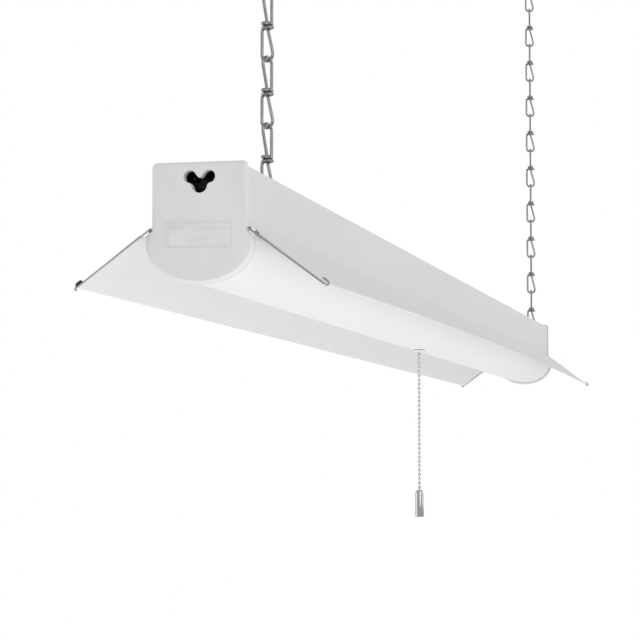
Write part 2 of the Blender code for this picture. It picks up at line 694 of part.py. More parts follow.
def build():
    clear_scene()
    white = (0.86, 0.86, 0.85)
    steel = (0.62, 0.62, 0.61)
    fixture = empty("fixture", (0, 0, TOP_Z))
    housing(fixture, material("housing_paint", white, 0.45))
    tray(fixture, material("tray_paint", (0.90, 0.90, 0.89), 0.50))
    lens(fixture, material("lens_frost", (0.95, 0.95, 0.95), 0.35))
    grommet(fixture, material("grommet_nylon", white, 0.40))
    driver(fixture, material("driver_case", (0.75, 0.76, 0.77), 0.40, 0.6))
    pull_switch(fixture, material("switch_moulding", (0.09, 0.09, 0.09), 0.50))
    switch_nut(fixture, material("nut_zinc", steel, 0.30, 1.0))
    wire_colours = {"line": material("lead_black", (0.03, 0.03, 0.03), 0.5),
                    "neutral": material("lead_white", (0.85, 0.85, 0.85), 0.5)}
    leads(fixture, wire_colours)
    link = chain_link_mesh()
    cap_finish = material("cap_moulding", white, 0.42)
    connector_finish = material("connector_black", (0.02, 0.02, 0.02), 0.45)
    hanger_finish = material("hanger_zinc", steel, 0.35, 1.0)
    board_finish = material("board_white", (0.92, 0.92, 0.90), 0.4)
    screw_finish = material("screw_zinc", steel, 0.30, 1.0)
    chain_finish = material("chain_zinc", (0.55, 0.55, 0.54), 0.28, 1.0)
    hook_finish = material("hook_zinc", steel, 0.30, 1.0)
    plate_finish = material("plate_zinc", steel, 0.35, 1.0)
    for end, side in ENDS.items():
        hanger(f"hanger_{end}", side, fixture, hanger_finish)
        led_board(f"led_board_{end}", side, fixture, board_finish)
        end_cap(f"end_cap_{end}", side, fixture, cap_finish)
        cap_screw(f"cap_screw_{end}", side, fixture, screw_finish)
        base = hanging_chain(end, side, link, chain_finish)
        ceiling_hook(end, base, hook_finish, plate_finish)
    connector("power_inlet", -1, fixture, connector_finish, RECESS_DEPTH)
    connector("link_outlet", 1, fixture, connector_finish, 0.0060)
    pin_finish = material("pin_brass", (0.80, 0.62, 0.30), 0.25, 1.0)
    contact_pin("inlet_pin_front", -LOBE_SPREAD, LOBE_HIGH_Z, fixture, pin_finish)
    contact_pin("inlet_pin_back", LOBE_SPREAD, LOBE_HIGH_Z, fixture, pin_finish)
    contact_pin("inlet_pin_low", 0, LOBE_LOW_Z, fixture, pin_finish)
    wing_finish = material("wing_paint", (0.88, 0.88, 0.87), 0.40)
    brace_finish = material("brace_steel", (0.45, 0.45, 0.44), 0.30, 1.0)
    for name, side in SIDES.items():
        wing(f"wing_{name}", side, FRONT_BOW if side < 0 else 0.0, fixture, wing_finish)
        for end, end_side in ENDS.items():
            brace(f"wing_brace_{name}_{end}", end_side, side, fixture, brace_finish)
    brace_sleeve("brace_sleeve", -1, 1, fixture, material("sleeve_rubber", (0.02, 0.02, 0.02), 0.6))
    chrome = material("pendant_chrome", (0.70, 0.70, 0.70), 0.12, 1.0)
    pull_chain(fixture, {"chain": material("bead_nickel", steel, 0.25, 1.0), "pendant": chrome})


build()
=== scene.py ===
"""Looks of the hanging LED strip batten: fine surfaces, materials, light and camera around its frame.

Every piece is made in the frame's own metres: X along the batten, the front at -Y, Z up, the ceiling
plane at z = 0.
"""

import math

import bmesh
import bpy
from mathutils import Matrix, Vector


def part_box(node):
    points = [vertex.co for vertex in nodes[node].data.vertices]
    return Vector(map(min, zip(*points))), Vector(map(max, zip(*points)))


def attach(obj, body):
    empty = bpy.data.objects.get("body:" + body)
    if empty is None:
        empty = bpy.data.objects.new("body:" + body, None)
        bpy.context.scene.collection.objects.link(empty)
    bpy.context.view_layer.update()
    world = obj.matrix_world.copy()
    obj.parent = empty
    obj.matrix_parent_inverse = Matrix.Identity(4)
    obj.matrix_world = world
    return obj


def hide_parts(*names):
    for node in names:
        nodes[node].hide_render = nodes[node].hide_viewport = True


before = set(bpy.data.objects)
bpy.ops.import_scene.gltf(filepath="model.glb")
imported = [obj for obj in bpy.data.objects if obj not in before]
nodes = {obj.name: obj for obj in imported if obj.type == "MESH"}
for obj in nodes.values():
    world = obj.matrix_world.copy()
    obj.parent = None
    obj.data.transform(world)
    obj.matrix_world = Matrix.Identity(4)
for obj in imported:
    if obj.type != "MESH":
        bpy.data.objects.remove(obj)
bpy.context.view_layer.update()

# Sizes of the real pieces
GAP = 0.0003
SHEET = 0.0008
HOUSING_DEPTH = 0.0310
FLANGE = 0.0046               # inward lip along each lower edge
LIP_EDGE = 0.0002             # softened edge of that lip
BEND = 0.0013                 # outside radius of the housing's folds
SLOT_HALF = (0.0055, 0.0057)  # opening in the housing's top for a chain
SLOT_CORNER = 0.0014
SCREW_HOLE = 0.0019           # radius
KNOCKOUTS = (-0.36, 0.0, 0.36)
KNOCKOUT_GROOVE = (0.0109, 0.0113)
KNOCKOUT_DEPTH = 0.00028
CUT_ABOVE = 0.0010            # reach of the cutting shapes beyond a face
CUT_BELOW = 0.0020            # and through the sheet

CAP_HALF = 0.0247
CAP_TOP = 0.0019
CAP_FACE = 0.0020
CAP_EDGE = 0.0016             # bevel round the cap's face
CAP_TONGUE = 0.0084           # reach of the tongue over the housing's top
CAP_TONGUE_HALF = 0.0200
CAP_SKIRT = 0.0060            # reach of the belly over the lens
CAP_SEAM = -0.0300            # height where the cap's belly wall begins
CAP_CORNER = 0.0030
ROOT_DEPTH = 0.0010           # start of the lugs and the collar, behind the face
COLLAR_DEPTH = 0.0053         # wall round the power opening, behind the face
COLLAR_WALL = 0.0012
PANEL_HALF = 0.0176
PANEL_LOW = -0.0420
PANEL_HIGH = -0.0287
PANEL_PROUD = 0.0004
PANEL_CORNER = 0.0018
PANEL_RIM = 0.0007
PANEL_FLOOR = 0.00004         # the framed field's height above the face
TILE = (0.0158, 0.0066)       # outer and inner edge of the square tile
TILE_INSET = 0.0022
TILE_CORNER = 0.0014
TILE_PROUD = 0.00034
BARS = ((0.66, 0.0158), (0.30, 0.0086))   # each bar's share of the panel's height, and its end
BAR_START = 0.0028
BAR_HALF = 0.0013
BAR_CORNER = 0.0008
BAR_PROUD = 0.00030
BELLY_Z = -0.0390
BELLY = (0.0278, 0.0170, 0.0200)   # half width, rise and drop of the cap's belly
LENS = (0.0260, 0.0140, 0.0183)
LENS_WALL = 0.0015
LENS_LIP_Y = 0.0200
LENS_TOP_Z = -0.0314
LENS_HOLE = 0.0035
BUSH_BORE = 0.0019
BUSH_BODY = 0.0032
BUSH_FLARE = 0.0048

LOBE_RADIUS = 0.0032
LOBE_SPREAD = 0.0049
LOBE_HIGH_Z = -0.0056
LOBE_LOW_RADIUS = 0.0039
LOBE_LOW_Z = -0.0099
BRIDGE_RADIUS = 0.0026
INLET_DEPTH = 0.0100
OUTLET_DEPTH = 0.0060
BLOCK_EDGE = 0.0004

HINGE_Y = 0.0255
HINGE_Z = -0.0320
WING_TIP_Y = 0.0626
WING_TIP_Z = -0.0607
WING_SHEET = 0.0006
CURL_INNER = 0.00088          # rolled hinge edge, around the wire
CURL_END = 0.0088             # rolled edge's end from the cap's face
BLADE_END = 0.0005            # blade's end from the cap's face
BLADE_NOTCH = 0.0058          # blade's inner corner, cut back clear of the cap
NOTCH_REACH = 0.0040          # half height of the notch's cutting shape
NOTCH_STEP = 0.0012
FRONT_BOW = 0.0040            # rise of the front wing's free edge at mid-length
WAVE = 0.00016                # shallow waves of the thin sheet
WIRE_RADIUS = 0.00050
WIRE_OUT = 0.0009             # brace's arm in front of the cap's face
WIRE_LEG = 0.0041             # its run along the wing's free edge
WIRE_BEND = 0.0011
WIRE_PIN = 0.0340             # end of the hinge pin, behind the cap's face
HOOK_REACH = 0.0014           # hook beyond the free edge
HOOK_LOW = 0.0010             # heights of the hook's two runs above the hinge plane
HOOK_HIGH = 0.0028
HOOK_BACK = 0.0024            # the hook's end, inside the free edge
LUG_RADIUS = 0.0014
SLEEVE_MOUTH = 0.0003         # rubber tip, measured outward from the free edge
SLEEVE_STOP = -0.0027
SLEEVE_TIP = -0.0036
SLEEVE_RADIUS = 0.00125
SLEEVE_DOME = 0.0010

LINK_PITCH = 0.0355
LINKS = 10
CHAIN_WIRE = 0.0009
LOOP_HALF = 0.0036
CHAIN_TURN = {"left": math.radians(-25), "right": math.radians(8)}
HOOK_WIRE = 0.0018
HOOK_RADIUS = 0.0080
PLATE_ROLL = 0.0030           # rolled edge of the ceiling plate

BEAD_RADIUS = 0.0012
BEAD_PITCH = 0.0032
BEAD_PIN = 0.00042            # radius of the pins between beads

FLOOR_REACH = 24.0
FLOOR_LEVEL = -3.0

# Places read from the frame
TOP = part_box("housing_channel")[1].z
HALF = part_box("end_cap_right")[1].x - PANEL_PROUD
HOUSING_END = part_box("housing_channel")[1].x
HOUSING_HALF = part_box("housing_channel")[1].y
LOOP_END = (LINK_PITCH + 2 * CHAIN_WIRE + GAP) / 2
WING_ANGLE = math.atan2(HINGE_Z - WING_TIP_Z, WING_TIP_Y - HINGE_Y)
WING_WIDTH = math.hypot(WING_TIP_Y - HINGE_Y, HINGE_Z - WING_TIP_Z)
ENDS = {"left": -1, "right": 1}
SIDES = {"front": -1, "back": 1}


# Camera

def camera():
    """A long lens near the inlet end, a little in front and below, looking slightly up."""
    data = bpy.data.cameras.new("camera")
    data.lens = 125
    data.sensor_width = 36
    data.clip_end = 200
    made = linked("camera", data)
    made.location = (-1.6623, -0.3008, TOP - 0.1546)
    yaw, pitch = math.radians(12.813), math.radians(4.061)
    toward = Vector((math.cos(yaw) * math.cos(pitch), math.sin(yaw) * math.cos(pitch), math.sin(pitch)))
    made.rotation_euler = toward.to_track_quat("-Z", "Y").to_euler()
    bpy.context.scene.camera = made


# Mesh helpers

def linked(name, data):
    """An object of the data, in the scene."""
    made = bpy.data.objects.new(name, data)
    bpy.context.scene.collection.objects.link(made)
    return made


def new_mesh(bm):
    bmesh.ops.recalc_face_normals(bm, faces=bm.faces)
    mesh = bpy.data.meshes.new("shape")
    bm.to_mesh(mesh)
    bm.free()
    return mesh


def loft(rings, closed=False):
    """A closed mesh through rings of equally many points, capped at its two ends unless closed."""
    bm = bmesh.new()
    rows = [[bm.verts.new(point) for point in ring] for ring in rings]
    count = len(rows[0])
    last = len(rows) if closed else len(rows) - 1
    for i in range(last):
        low, high = rows[i], rows[(i + 1) % len(rows)]
        for j in range(count):
            k = (j + 1) % count
            bm.faces.new((low[j], low[k], high[k], high[j]))
    if not closed:
        bm.faces.new(rows[0])
        bm.faces.new(rows[-1])
    return new_mesh(bm)


def prism(outline, x0, x1):
    return loft([[(x, y, z) for y, z in outline] for x in (x0, x1)])


def box(low, high):
    corners = [(low[1], low[2]), (high[1], low[2]), (high[1], high[2]), (low[1], high[2])]
    return prism(corners, low[0], high[0])


def circle(centre, u, v, radius, sides):
    steps = [2 * math.pi * k / sides for k in range(sides)]
    return [centre + radius * (math.cos(a) * u + math.sin(a) * v) for a in steps]


def turned(profile, sides=40, centre=(0, 0)):
    """A solid of revolution about a vertical axis, from (radius, z) points."""
    u, v = Vector((1, 0, 0)), Vector((0, 1, 0))
    return loft([circle(Vector((*centre, z)), u, v, r, sides) for r, z in profile])


def ring_turned(profile, sides=40, centre=(0, 0)):
    """A ring of revolution: the (radius, z) profile is a closed loop that stays off the axis."""
    rings = []
    for k in range(sides):
        a = 2 * math.pi * k / sides
        rings.append([(centre[0] + r * math.cos(a), centre[1] + r * math.sin(a), z) for r, z in profile])
    return loft(rings, closed=True)


def tube(points, radius, sides=14):
    """A round wire along the points, with a domed tip at each end."""
    points = [Vector(p) for p in points]
    tangents = []
    for i, point in enumerate(points):
        before = points[max(i - 1, 0)]
        after = points[min(i + 1, len(points) - 1)]
        tangents.append((after - before).normalized())
    across = tangents[0].orthogonal().normalized()
    rings = []
    for i, point in enumerate(points):
        if i:
            across = tangents[i - 1].rotation_difference(tangents[i]) @ across
        rings.append((point, across, tangents[i].cross(across), radius))
    dome = []
    for a in (math.radians(20), math.radians(50)):
        dome.append((radius * 0.7 * math.sin(a), radius * math.cos(a)))
    start = [(points[0] - reach * tangents[0], *rings[0][1:3], size) for reach, size in reversed(dome)]
    end = [(points[-1] + reach * tangents[-1], *rings[-1][1:3], size) for reach, size in dome]
    return loft([circle(centre, u, v, size, sides) for centre, u, v, size in start + rings + end])


def rounded(points, radius, steps=6):
    """The polyline with each inner corner replaced by a short curve."""
    points = [Vector(p) for p in points]
    path = [points[0]]
    for before, corner, after in zip(points, points[1:], points[2:]):
        start = corner + (before - corner).normalized() * radius
        end = corner + (after - corner).normalized() * radius
        for k in range(steps + 1):
            t = k / steps
            path.append((1 - t) ** 2 * start + 2 * t * (1 - t) * corner + t * t * end)
    path.append(points[-1])
    return path


def smooth_path(points, steps=4):
    """A Catmull-Rom curve through the points."""
    points = [Vector(p) for p in points]
    padded = [2 * points[0] - points[1]] + points + [2 * points[-1] - points[-2]]
    path = []
    for a, b, c, d in zip(padded, padded[1:], padded[2:], padded[3:]):
        for k in range(steps):
            t = k / steps
            path.append(0.5 * (2 * b + (c - a) * t + (2 * a - 5 * b + 4 * c - d) * t * t
                               + (3 * b - a - 3 * c + d) * t ** 3))
    path.append(points[-1])
    return path


def arc(centre, half, rise, start, end, steps):
    """Points on an ellipse in two dimensions, from the start angle to the end angle in degrees."""
    angles = [math.radians(start + (end - start) * k / steps) for k in range(steps + 1)]
    return [(centre[0] + half * math.cos(a), centre[1] + rise * math.sin(a)) for a in angles]


def soft_outline(corners, steps=4):
    """A closed outline of (y, z, radius) corners, each rounded to its radius."""
    points = [Vector((y, z)) for y, z, radius in corners]
    path = []
    for i, corner in enumerate(points):
        radius = corners[i][2]
        before = (points[i - 1] - corner).normalized()
        after = (points[(i + 1) % len(points)] - corner).normalized()
        start, end = corner + before * radius, corner + after * radius
        for k in range(steps + 1):
            t = k / steps
            spot = (1 - t) ** 2 * start + 2 * t * (1 - t) * corner + t * t * end
            path.append((spot.x, spot.y))
    return path


def full(outline):
    """Both halves of an outline that runs from the top middle to the bottom middle."""
    return outline + [(-y, z) for y, z in reversed(outline[1:-1])]


def piece(name, mesh, slot, body, *stands_for, sharp=35, matrix=None):
    """A shown piece in its slot's finish, smooth between sharp edges, riding on its body."""
    made = linked(name, mesh)
    if matrix is not None:
        made.matrix_world = matrix
    if not mesh.materials:
        mesh.materials.append(finishes[slot])
    mesh.shade_smooth()
    mesh.set_sharp_from_angle(angle=math.radians(sharp))
    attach(made, body)
    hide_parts(*stands_for)


def applied(base):
    """The object's mesh with its modifiers applied; the object itself goes."""
    graph = bpy.context.evaluated_depsgraph_get()
    result = bpy.data.meshes.new_from_object(base.evaluated_get(graph))
    bpy.data.objects.remove(base, do_unlink=True)
    result.materials.clear()
    return result


def carved(mesh, *steps):
    """The mesh after exact Booleans, each an (operation, mesh) pair."""
    base = linked("carving", mesh)
    tools = []
    for operation, tool_mesh in steps:
        tool = linked("tool", tool_mesh)
        step = base.modifiers.new(operation, "BOOLEAN")
        step.operation = operation
        step.solver = "EXACT"
        step.object = tool
        tools.append(tool)
    result = applied(base)
    for tool in tools:
        bpy.data.objects.remove(tool, do_unlink=True)
    return result


def bevelled(mesh, width):
    """The mesh with its sharp edges softened."""
    base = linked("bevelling", mesh)
    step = base.modifiers.new("edge", "BEVEL")
    step.width = width
    step.segments = 2
    step.limit_method = "ANGLE"
    step.angle_limit = math.radians(30)
    step.use_clamp_overlap = True
    return applied(base)


def middle(node):
    low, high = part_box(node)
    return (low + high) / 2


# Materials

class Finish:
    """A Principled material whose noise layers are added by name."""

    def __init__(self, name, colour, roughness, metallic=0.0, **sockets):
        self.material = bpy.data.materials.new(name)
        self.material.use_nodes = True
        self.tree = self.material.node_tree
        self.shader = self.tree.nodes["Principled BSDF"]
        self.place = self.tree.nodes.new("ShaderNodeTexCoord").outputs["Object"]
        self.colour = colour
        self.set("Base Color", (*colour, 1.0))
        self.set("Roughness", roughness)
        self.set("Metallic", metallic)
        for socket, value in sockets.items():
            self.set(socket.replace("_", " "), value)
        self.normal = None

    def set(self, socket, value):
        self.shader.inputs[socket].default_value = value

    def noise(self, scale, detail=3.0, stretch=(1, 1, 1), roughness=0.5):
        """Noise in the piece's own metres; scale is in features per metre."""
        mapping = self.tree.nodes.new("ShaderNodeMapping")
        mapping.inputs["Scale"].default_value = stretch
        self.tree.links.new(self.place, mapping.inputs["Vector"])
        made = self.tree.nodes.new("ShaderNodeTexNoise")
        made.inputs["Scale"].default_value = scale
        made.inputs["Detail"].default_value = detail
        made.inputs["Roughness"].default_value = roughness
        self.tree.links.new(mapping.outputs["Vector"], made.inputs["Vector"])
        return made.outputs["Fac"]

    def remap(self, source, low, high, start=0.35, end=0.65):
        """The source spread from start..end onto low..high."""
        made = self.tree.nodes.new("ShaderNodeMapRange")
        made.inputs["From Min"].default_value = start
        made.inputs["From Max"].default_value = end
        made.inputs["To Min"].default_value = low
        made.inputs["To Max"].default_value = high
        self.tree.links.new(source, made.inputs["Value"])
        return made.outputs["Result"]

    def tint(self, source, other, start=0.35, end=0.65):
        """Blends the base colour towards another where the source is high."""
        mix = self.tree.nodes.new("ShaderNodeMix")
        mix.data_type = "RGBA"
        base = self.shader.inputs["Base Color"]
        if base.is_linked:
            self.tree.links.new(base.links[0].from_socket, mix.inputs["A"])
        else:
            mix.inputs["A"].default_value = (*self.colour, 1.0)
        mix.inputs["B"].default_value = (*other, 1.0)
        self.tree.links.new(self.remap(source, 0.0, 1.0, start, end), mix.inputs["Factor"])
        self.tree.links.new(mix.outputs["Result"], base)
        return self

    def gloss(self, source, low, high):
        self.tree.links.new(self.remap(source, low, high), self.shader.inputs["Roughness"])
        return self

    def relief(self, source, depth, strength=1.0):
        """Bump of the given depth in metres."""
        made = self.tree.nodes.new("ShaderNodeBump")
        made.inputs["Strength"].default_value = strength
        made.inputs["Distance"].default_value = depth
        self.tree.links.new(source, made.inputs["Height"])
        if self.normal is not None:
            self.tree.links.new(self.normal, made.inputs["Normal"])
        self.normal = made.outputs["Normal"]
        self.tree.links.new(self.normal, self.shader.inputs["Normal"])
        return self


def powder_coat(name, colour, roughness):
    """Baked powder paint: fine orange peel, a few soft dust specks, slightly uneven gloss."""
    made = Finish(name, colour, roughness, Specular_IOR_Level=0.42)
    darker = tuple(0.965 * c for c in colour)
    warmer = (colour[0] * 0.955, colour[1] * 0.945, colour[2] * 0.925)
    made.tint(made.noise(9.0, 4.0, (0.35, 1, 1)), darker)
    made.tint(made.noise(420.0, 2.0), warmer, 0.70, 0.80)
    made.gloss(made.noise(60.0, 3.0), roughness - 0.05, roughness + 0.07)
    made.relief(made.noise(900.0, 2.0), 0.000020)
    made.relief(made.noise(14.0, 2.0, (0.3, 1, 1)), 0.00012, 0.35)
    return made.material


def moulding(name, colour, roughness, grain=0.000018):
    """Injection-moulded plastic with a fine spark-eroded texture."""
    made = Finish(name, colour, roughness, Specular_IOR_Level=0.40)
    darker = tuple(0.94 * c for c in colour)
    made.tint(made.noise(30.0, 3.0), darker)
    made.gloss(made.noise(160.0, 3.0), roughness - 0.05, roughness + 0.08)
    made.relief(made.noise(2600.0, 2.0), grain)
    made.relief(made.noise(45.0, 2.0), 0.00006, 0.4)
    return made.material


def frosted_lens(name):
    """Diffusing polycarbonate, with a faint painted glow: a small white emission brightens it evenly, though
    the boards behind it give no light.
    """
    made = Finish(name, (0.876, 0.876, 0.874), 0.34, Specular_IOR_Level=0.45)
    # Painted light: a faint white emission brightens the lens, which is not lit here.
    made.set("Emission Color", (1.0, 1.0, 1.0, 1.0))
    made.set("Emission Strength", 0.05)
    made.tint(made.noise(12.0, 3.0, (0.3, 1, 1)), (0.856, 0.856, 0.854))
    made.gloss(made.noise(300.0, 2.0), 0.30, 0.42)
    made.relief(made.noise(1800.0, 2.0), 0.000012)
    made.relief(made.noise(260.0, 1.0, (0.02, 1, 1)), 0.00003, 0.4)
    return made.material


def wire_steel(name, colour, roughness, dull):
    """Zinc-plated wire: faint drawing marks and dull patches where it has been handled."""
    made = Finish(name, colour, roughness, 1.0)
    made.tint(made.noise(240.0, 4.0), tuple(dull * c for c in colour))
    made.tint(made.noise(1500.0, 3.0), tuple(0.8 * c for c in colour), 0.55, 0.75)
    made.gloss(made.noise(500.0, 3.0), roughness - 0.07, roughness + 0.12)
    made.relief(made.noise(2400.0, 3.0, (1, 1, 0.25)), 0.000012)
    return made.material


def plated(name, colour, roughness):
    """Bright plating with a little haze."""
    made = Finish(name, colour, roughness, 1.0)
    made.tint(made.noise(700.0, 3.0), tuple(0.86 * c for c in colour), 0.5, 0.75)
    made.gloss(made.noise(900.0, 3.0), roughness, roughness + 0.10)
    made.relief(made.noise(1800.0, 2.0), 0.000005)
    return made.material


def rubber(name):
    made = Finish(name, (0.020, 0.020, 0.021), 0.55, Specular_IOR_Level=0.35)
    made.tint(made.noise(600.0, 3.0), (0.035, 0.035, 0.036))
    made.gloss(made.noise(900.0, 2.0), 0.48, 0.68)
    made.relief(made.noise(2600.0, 2.0), 0.00002)
    return made.material


def board(name):
    """White solder mask, a little uneven."""
    made = Finish(name, (0.88, 0.88, 0.86), 0.30)
    made.tint(made.noise(90.0, 3.0), (0.82, 0.82, 0.79))
    made.relief(made.noise(1400.0, 2.0), 0.00001)
    return made.material


def make_finishes():
    zinc = (0.60, 0.60, 0.60)
    return {
        "housing_white": powder_coat("housing_paint", (0.805, 0.805, 0.80), 0.42),
        "tray_white": powder_coat("tray_paint", (0.84, 0.84, 0.835), 0.48),
        "wing_white": powder_coat("wing_paint", (0.80, 0.80, 0.795), 0.40),
        "cap_white": moulding("cap_moulding", (0.81, 0.81, 0.805), 0.42),
        "grommet_white": moulding("grommet_nylon", (0.82, 0.82, 0.81), 0.38),
        "switch_black": moulding("switch_moulding", (0.08, 0.08, 0.08), 0.45),
        "connector_black": moulding("connector_moulding", (0.012, 0.012, 0.013), 0.42),
        "lens_frosted": frosted_lens("lens_frost"),
        "driver_case": wire_steel("driver_sheet", (0.72, 0.73, 0.74), 0.38, 0.9),
        "nut_zinc": wire_steel("nut_plating", zinc, 0.30, 0.8),
        "hanger_zinc": wire_steel("hanger_plating", zinc, 0.34, 0.85),
        "screw_zinc": wire_steel("screw_plating", zinc, 0.28, 0.85),
        "hook_zinc": wire_steel("hook_plating", zinc, 0.30, 0.85),
        "plate_zinc": wire_steel("plate_plating", zinc, 0.34, 0.9),
        "chain_zinc": wire_steel("chain_plating", (0.34, 0.34, 0.335), 0.24, 0.85),
        "brace_steel": wire_steel("brace_wire", (0.44, 0.44, 0.44), 0.34, 0.85),
        "bead_nickel": plated("bead_plating", (0.60, 0.60, 0.59), 0.20),
        "pendant_chrome": plated("pendant_plating", (0.50, 0.50, 0.50), 0.10),
        # Painted shade: the brass pins are coloured near black, as the shade inside the inlet's recess.
        "pin_brass": plated("pin_plating_painted_shade", (0.07, 0.055, 0.035), 0.50),
        "sleeve_rubber": rubber("sleeve_rubber"),
        "lead_black": rubber("lead_black"),
        "lead_white": moulding("lead_white", (0.80, 0.80, 0.78), 0.45),
        "board_white": board("board_mask"),
    }


# Housing, lens and caps

def housing():
    """Folded channel with rounded bends, slots for the chains, and pressed knock-outs in its top."""
    half, depth, sheet, inner = HOUSING_HALF, HOUSING_DEPTH, SHEET, BEND - SHEET
    right = [(half, 0, BEND), (half, -depth, BEND), (half - FLANGE, -depth, LIP_EDGE),
             (half - FLANGE, sheet - depth, LIP_EDGE), (half - sheet, sheet - depth, inner),
             (half - sheet, -sheet, inner)]
    corners = right + [(-y, z, radius) for y, z, radius in reversed(right)]
    outline = [(y, z + TOP) for y, z in soft_outline(corners, 5)]
    cuts = []
    above, below = TOP + CUT_ABOVE, TOP - CUT_BELOW
    for end in ENDS:
        link_low, link_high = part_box(f"chain_{end}_link_01")
        x, y = (link_low.x + link_high.x) / 2, (link_low.y + link_high.y) / 2
        slot = []
        for px, py in ((1, 1), (-1, 1), (-1, -1), (1, -1)):
            slot.append((x + SLOT_HALF[0] * px, y + SLOT_HALF[1] * py, SLOT_CORNER))
        around = soft_outline(slot, 5)
        cuts.append(("DIFFERENCE", loft([[(px, py, z) for px, py in around] for z in (below, above)])))
        screw = middle(f"cap_screw_{end}")
        cuts.append(("DIFFERENCE", turned([(SCREW_HOLE, above), (SCREW_HOLE, below)], 32, screw[:2])))
    small, large = KNOCKOUT_GROOVE
    bottom = TOP - KNOCKOUT_DEPTH
    for x in KNOCKOUTS:
        groove = [(small, above), (small, bottom), (large, bottom), (large, above)]
        cuts.append(("DIFFERENCE", ring_turned(groove, 64, (x, 0.0))))
    mesh = carved(prism(outline, -HOUSING_END, HOUSING_END), *cuts)
    piece("housing_shell", mesh, "housing_white", "fixture", "housing_channel", sharp=28)


def lens():
    """Frosted trough with a smooth round section, cut for the pull chain's bush."""
    half, rise, drop = LENS
    wall = LENS_WALL
    top_angle = math.degrees(math.asin((LENS_TOP_Z - BELLY_Z) / rise))
    inner_angle = math.degrees(math.asin((LENS_TOP_Z - wall - BELLY_Z) / (rise - wall)))
    centre = (0, BELLY_Z)
    outer = arc(centre, half, rise, top_angle, 0, 8) + arc(centre, half, drop, 0, -90, 34)[1:]
    inner = arc(centre, half - wall, rise - wall, inner_angle, 0, 8)
    inner += arc(centre, half - wall, drop - wall, 0, -90, 34)[1:]
    lip = [(LENS_LIP_Y, LENS_TOP_Z), (LENS_LIP_Y, LENS_TOP_Z - wall)]
    side = list(reversed(lip[1:] + inner)) + [lip[0]] + outer
    outline = [(y, z + TOP) for y, z in side + [(-y, z) for y, z in reversed(side[1:-1])]]
    low = TOP + BELLY_Z - drop
    hole = turned([(LENS_HOLE, low + 0.004), (LENS_HOLE, low - 0.002)], 40)
    mesh = carved(prism(outline, -HOUSING_END, HOUSING_END), ("DIFFERENCE", hole))
    piece("lens_trough", mesh, "lens_frosted", "fixture", "lens_diffuser", sharp=28)


def grommet():
    """Flanged bush in the lens for the pull chain."""
    low, edge = TOP + BELLY_Z - LENS[2], 0.0003
    inner, outer, lip = BUSH_BORE, BUSH_BODY, 0.0009
    profile = [(outer, low + 0.0024), (outer - edge, low + 0.0027), (inner + edge, low + 0.0027),
               (inner, low + 0.0024), (inner, low - 0.0014), (inner + edge, low - 0.0018)]
    profile += arc((BUSH_FLARE - lip, low - GAP - 0.0008), lip, lip, -90, 60, 8)
    profile += [(BUSH_FLARE - 0.0006, low - GAP), (outer, low - GAP)]
    piece("grommet_bush", ring_turned(profile, 48), "grommet_white", "fixture", "lens_grommet")


def cap_outline(inset):
    """The cap's outside, set in by inset, from its top middle round to its bottom middle."""
    half, top = CAP_HALF - inset, CAP_TOP - inset
    corner = max(CAP_CORNER - inset, 0.0003)
    return belly_outline(half, top, corner, tuple(size - inset for size in BELLY))


def belly_outline(half, top, corner, belly):
    wide, rise, drop = belly
    meet = math.degrees(math.acos(half / wide))
    points = [(0, top)] + arc((half - corner, top - corner), corner, corner, 90, 0, 8)
    points += arc((0, BELLY_Z), wide, rise, meet, 0, 8)
    points += arc((0, BELLY_Z), wide, drop, 0, -90, 36)[1:]
    return points


def lobes_outline(grow=0.0, count=120):
    """Outline of the three-lobed opening, found by the farthest exit of a ray from its middle."""
    spread, high, low = LOBE_SPREAD, LOBE_HIGH_Z, LOBE_LOW_Z
    discs = [(spread, high, LOBE_RADIUS), (-spread, high, LOBE_RADIUS), (0, low, LOBE_LOW_RADIUS)]
    for side in (-1, 1):
        discs.append((side * spread / 2, (high + low) / 2, BRIDGE_RADIUS))
    centre, points = (0, high * 0.65 + low * 0.35), []
    for k in range(count):
        angle = 2 * math.pi * (k + 0.5) / count
        dy, dz = math.cos(angle), math.sin(angle)
        far = 0.0
        for y, z, radius in discs:
            ahead = (y - centre[0]) * dy + (z - centre[1]) * dz
            off = (y - centre[0]) ** 2 + (z - centre[1]) ** 2 - ahead ** 2
            if off < radius ** 2:
                far = max(far, ahead + math.sqrt(radius ** 2 - off))
        points.append((centre[0] + (far + grow) * dy, centre[1] + (far + grow) * dz))
    return points


def raised(corners, side, proud):
    """A low boss on a cap's face, with softened edges, rooted 0.8 mm into the face."""
    face = side * HALF
    around = [(y, z + TOP) for y, z in soft_outline(corners, 5)]
    cy = sum(y for y, z in around) / len(around)
    cz = sum(z for y, z in around) / len(around)

    def ring(out, shrink):
        spots = []
        for y, z in around:
            reach = Vector((y - cy, z - cz))
            reach = reach * (1 - shrink / max(reach.length, 1e-6))
            spots.append((face + side * out, cy + reach.x, cz + reach.y))
        return spots

    return loft([ring(-0.0008, 0), ring(proud * 0.6, 0), ring(proud * 0.9, 0.00008), ring(proud, 0.0002)])


def rectangle(y0, y1, z0, z1, radius):
    return [(y0, z0, radius), (y1, z0, radius), (y1, z1, radius), (y0, z1, radius)]


def slab(side, depths, low, high):
    """A box between two depths behind a cap's face and two (y, z) corners."""
    ends = sorted(side * (HALF - depth) for depth in depths)
    return box((ends[0], low[0], low[1] + TOP), (ends[1], high[0], high[1] + TOP))


